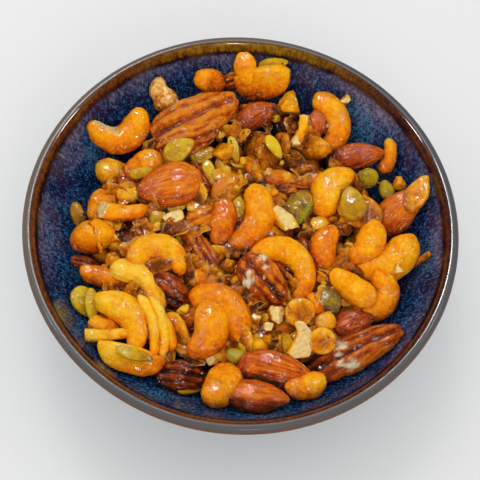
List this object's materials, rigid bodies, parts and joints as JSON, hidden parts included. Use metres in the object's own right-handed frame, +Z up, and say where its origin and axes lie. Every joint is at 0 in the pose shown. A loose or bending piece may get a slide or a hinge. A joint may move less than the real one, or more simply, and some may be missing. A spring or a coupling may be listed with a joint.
{
  "type": "bowl of mixed nuts",
  "caption": "Round shallow stoneware bowl on a foot ring, filled with a heap of glazed mixed nuts, seeds and broken pieces.",
  "frame": {"origin": "middle of the foot ring's resting plane", "axes": "+Z up along the bowl's axis, +Y away from the side that the picture looks from"},
  "size_m": [0.16, 0.16, 0.0529],
  "materials": {
    "glazed_stoneware": "gloss reactive glaze, navy to teal, amber brown below the lip and grey on it",
    "candied_nuts": "roasted nuts under a glossy film of sugar"
  },
  "bodies": {
    "root": {"bowl": "glazed_stoneware", "mixed_nuts": "candied_nuts"}
  },
  "joints": []
}
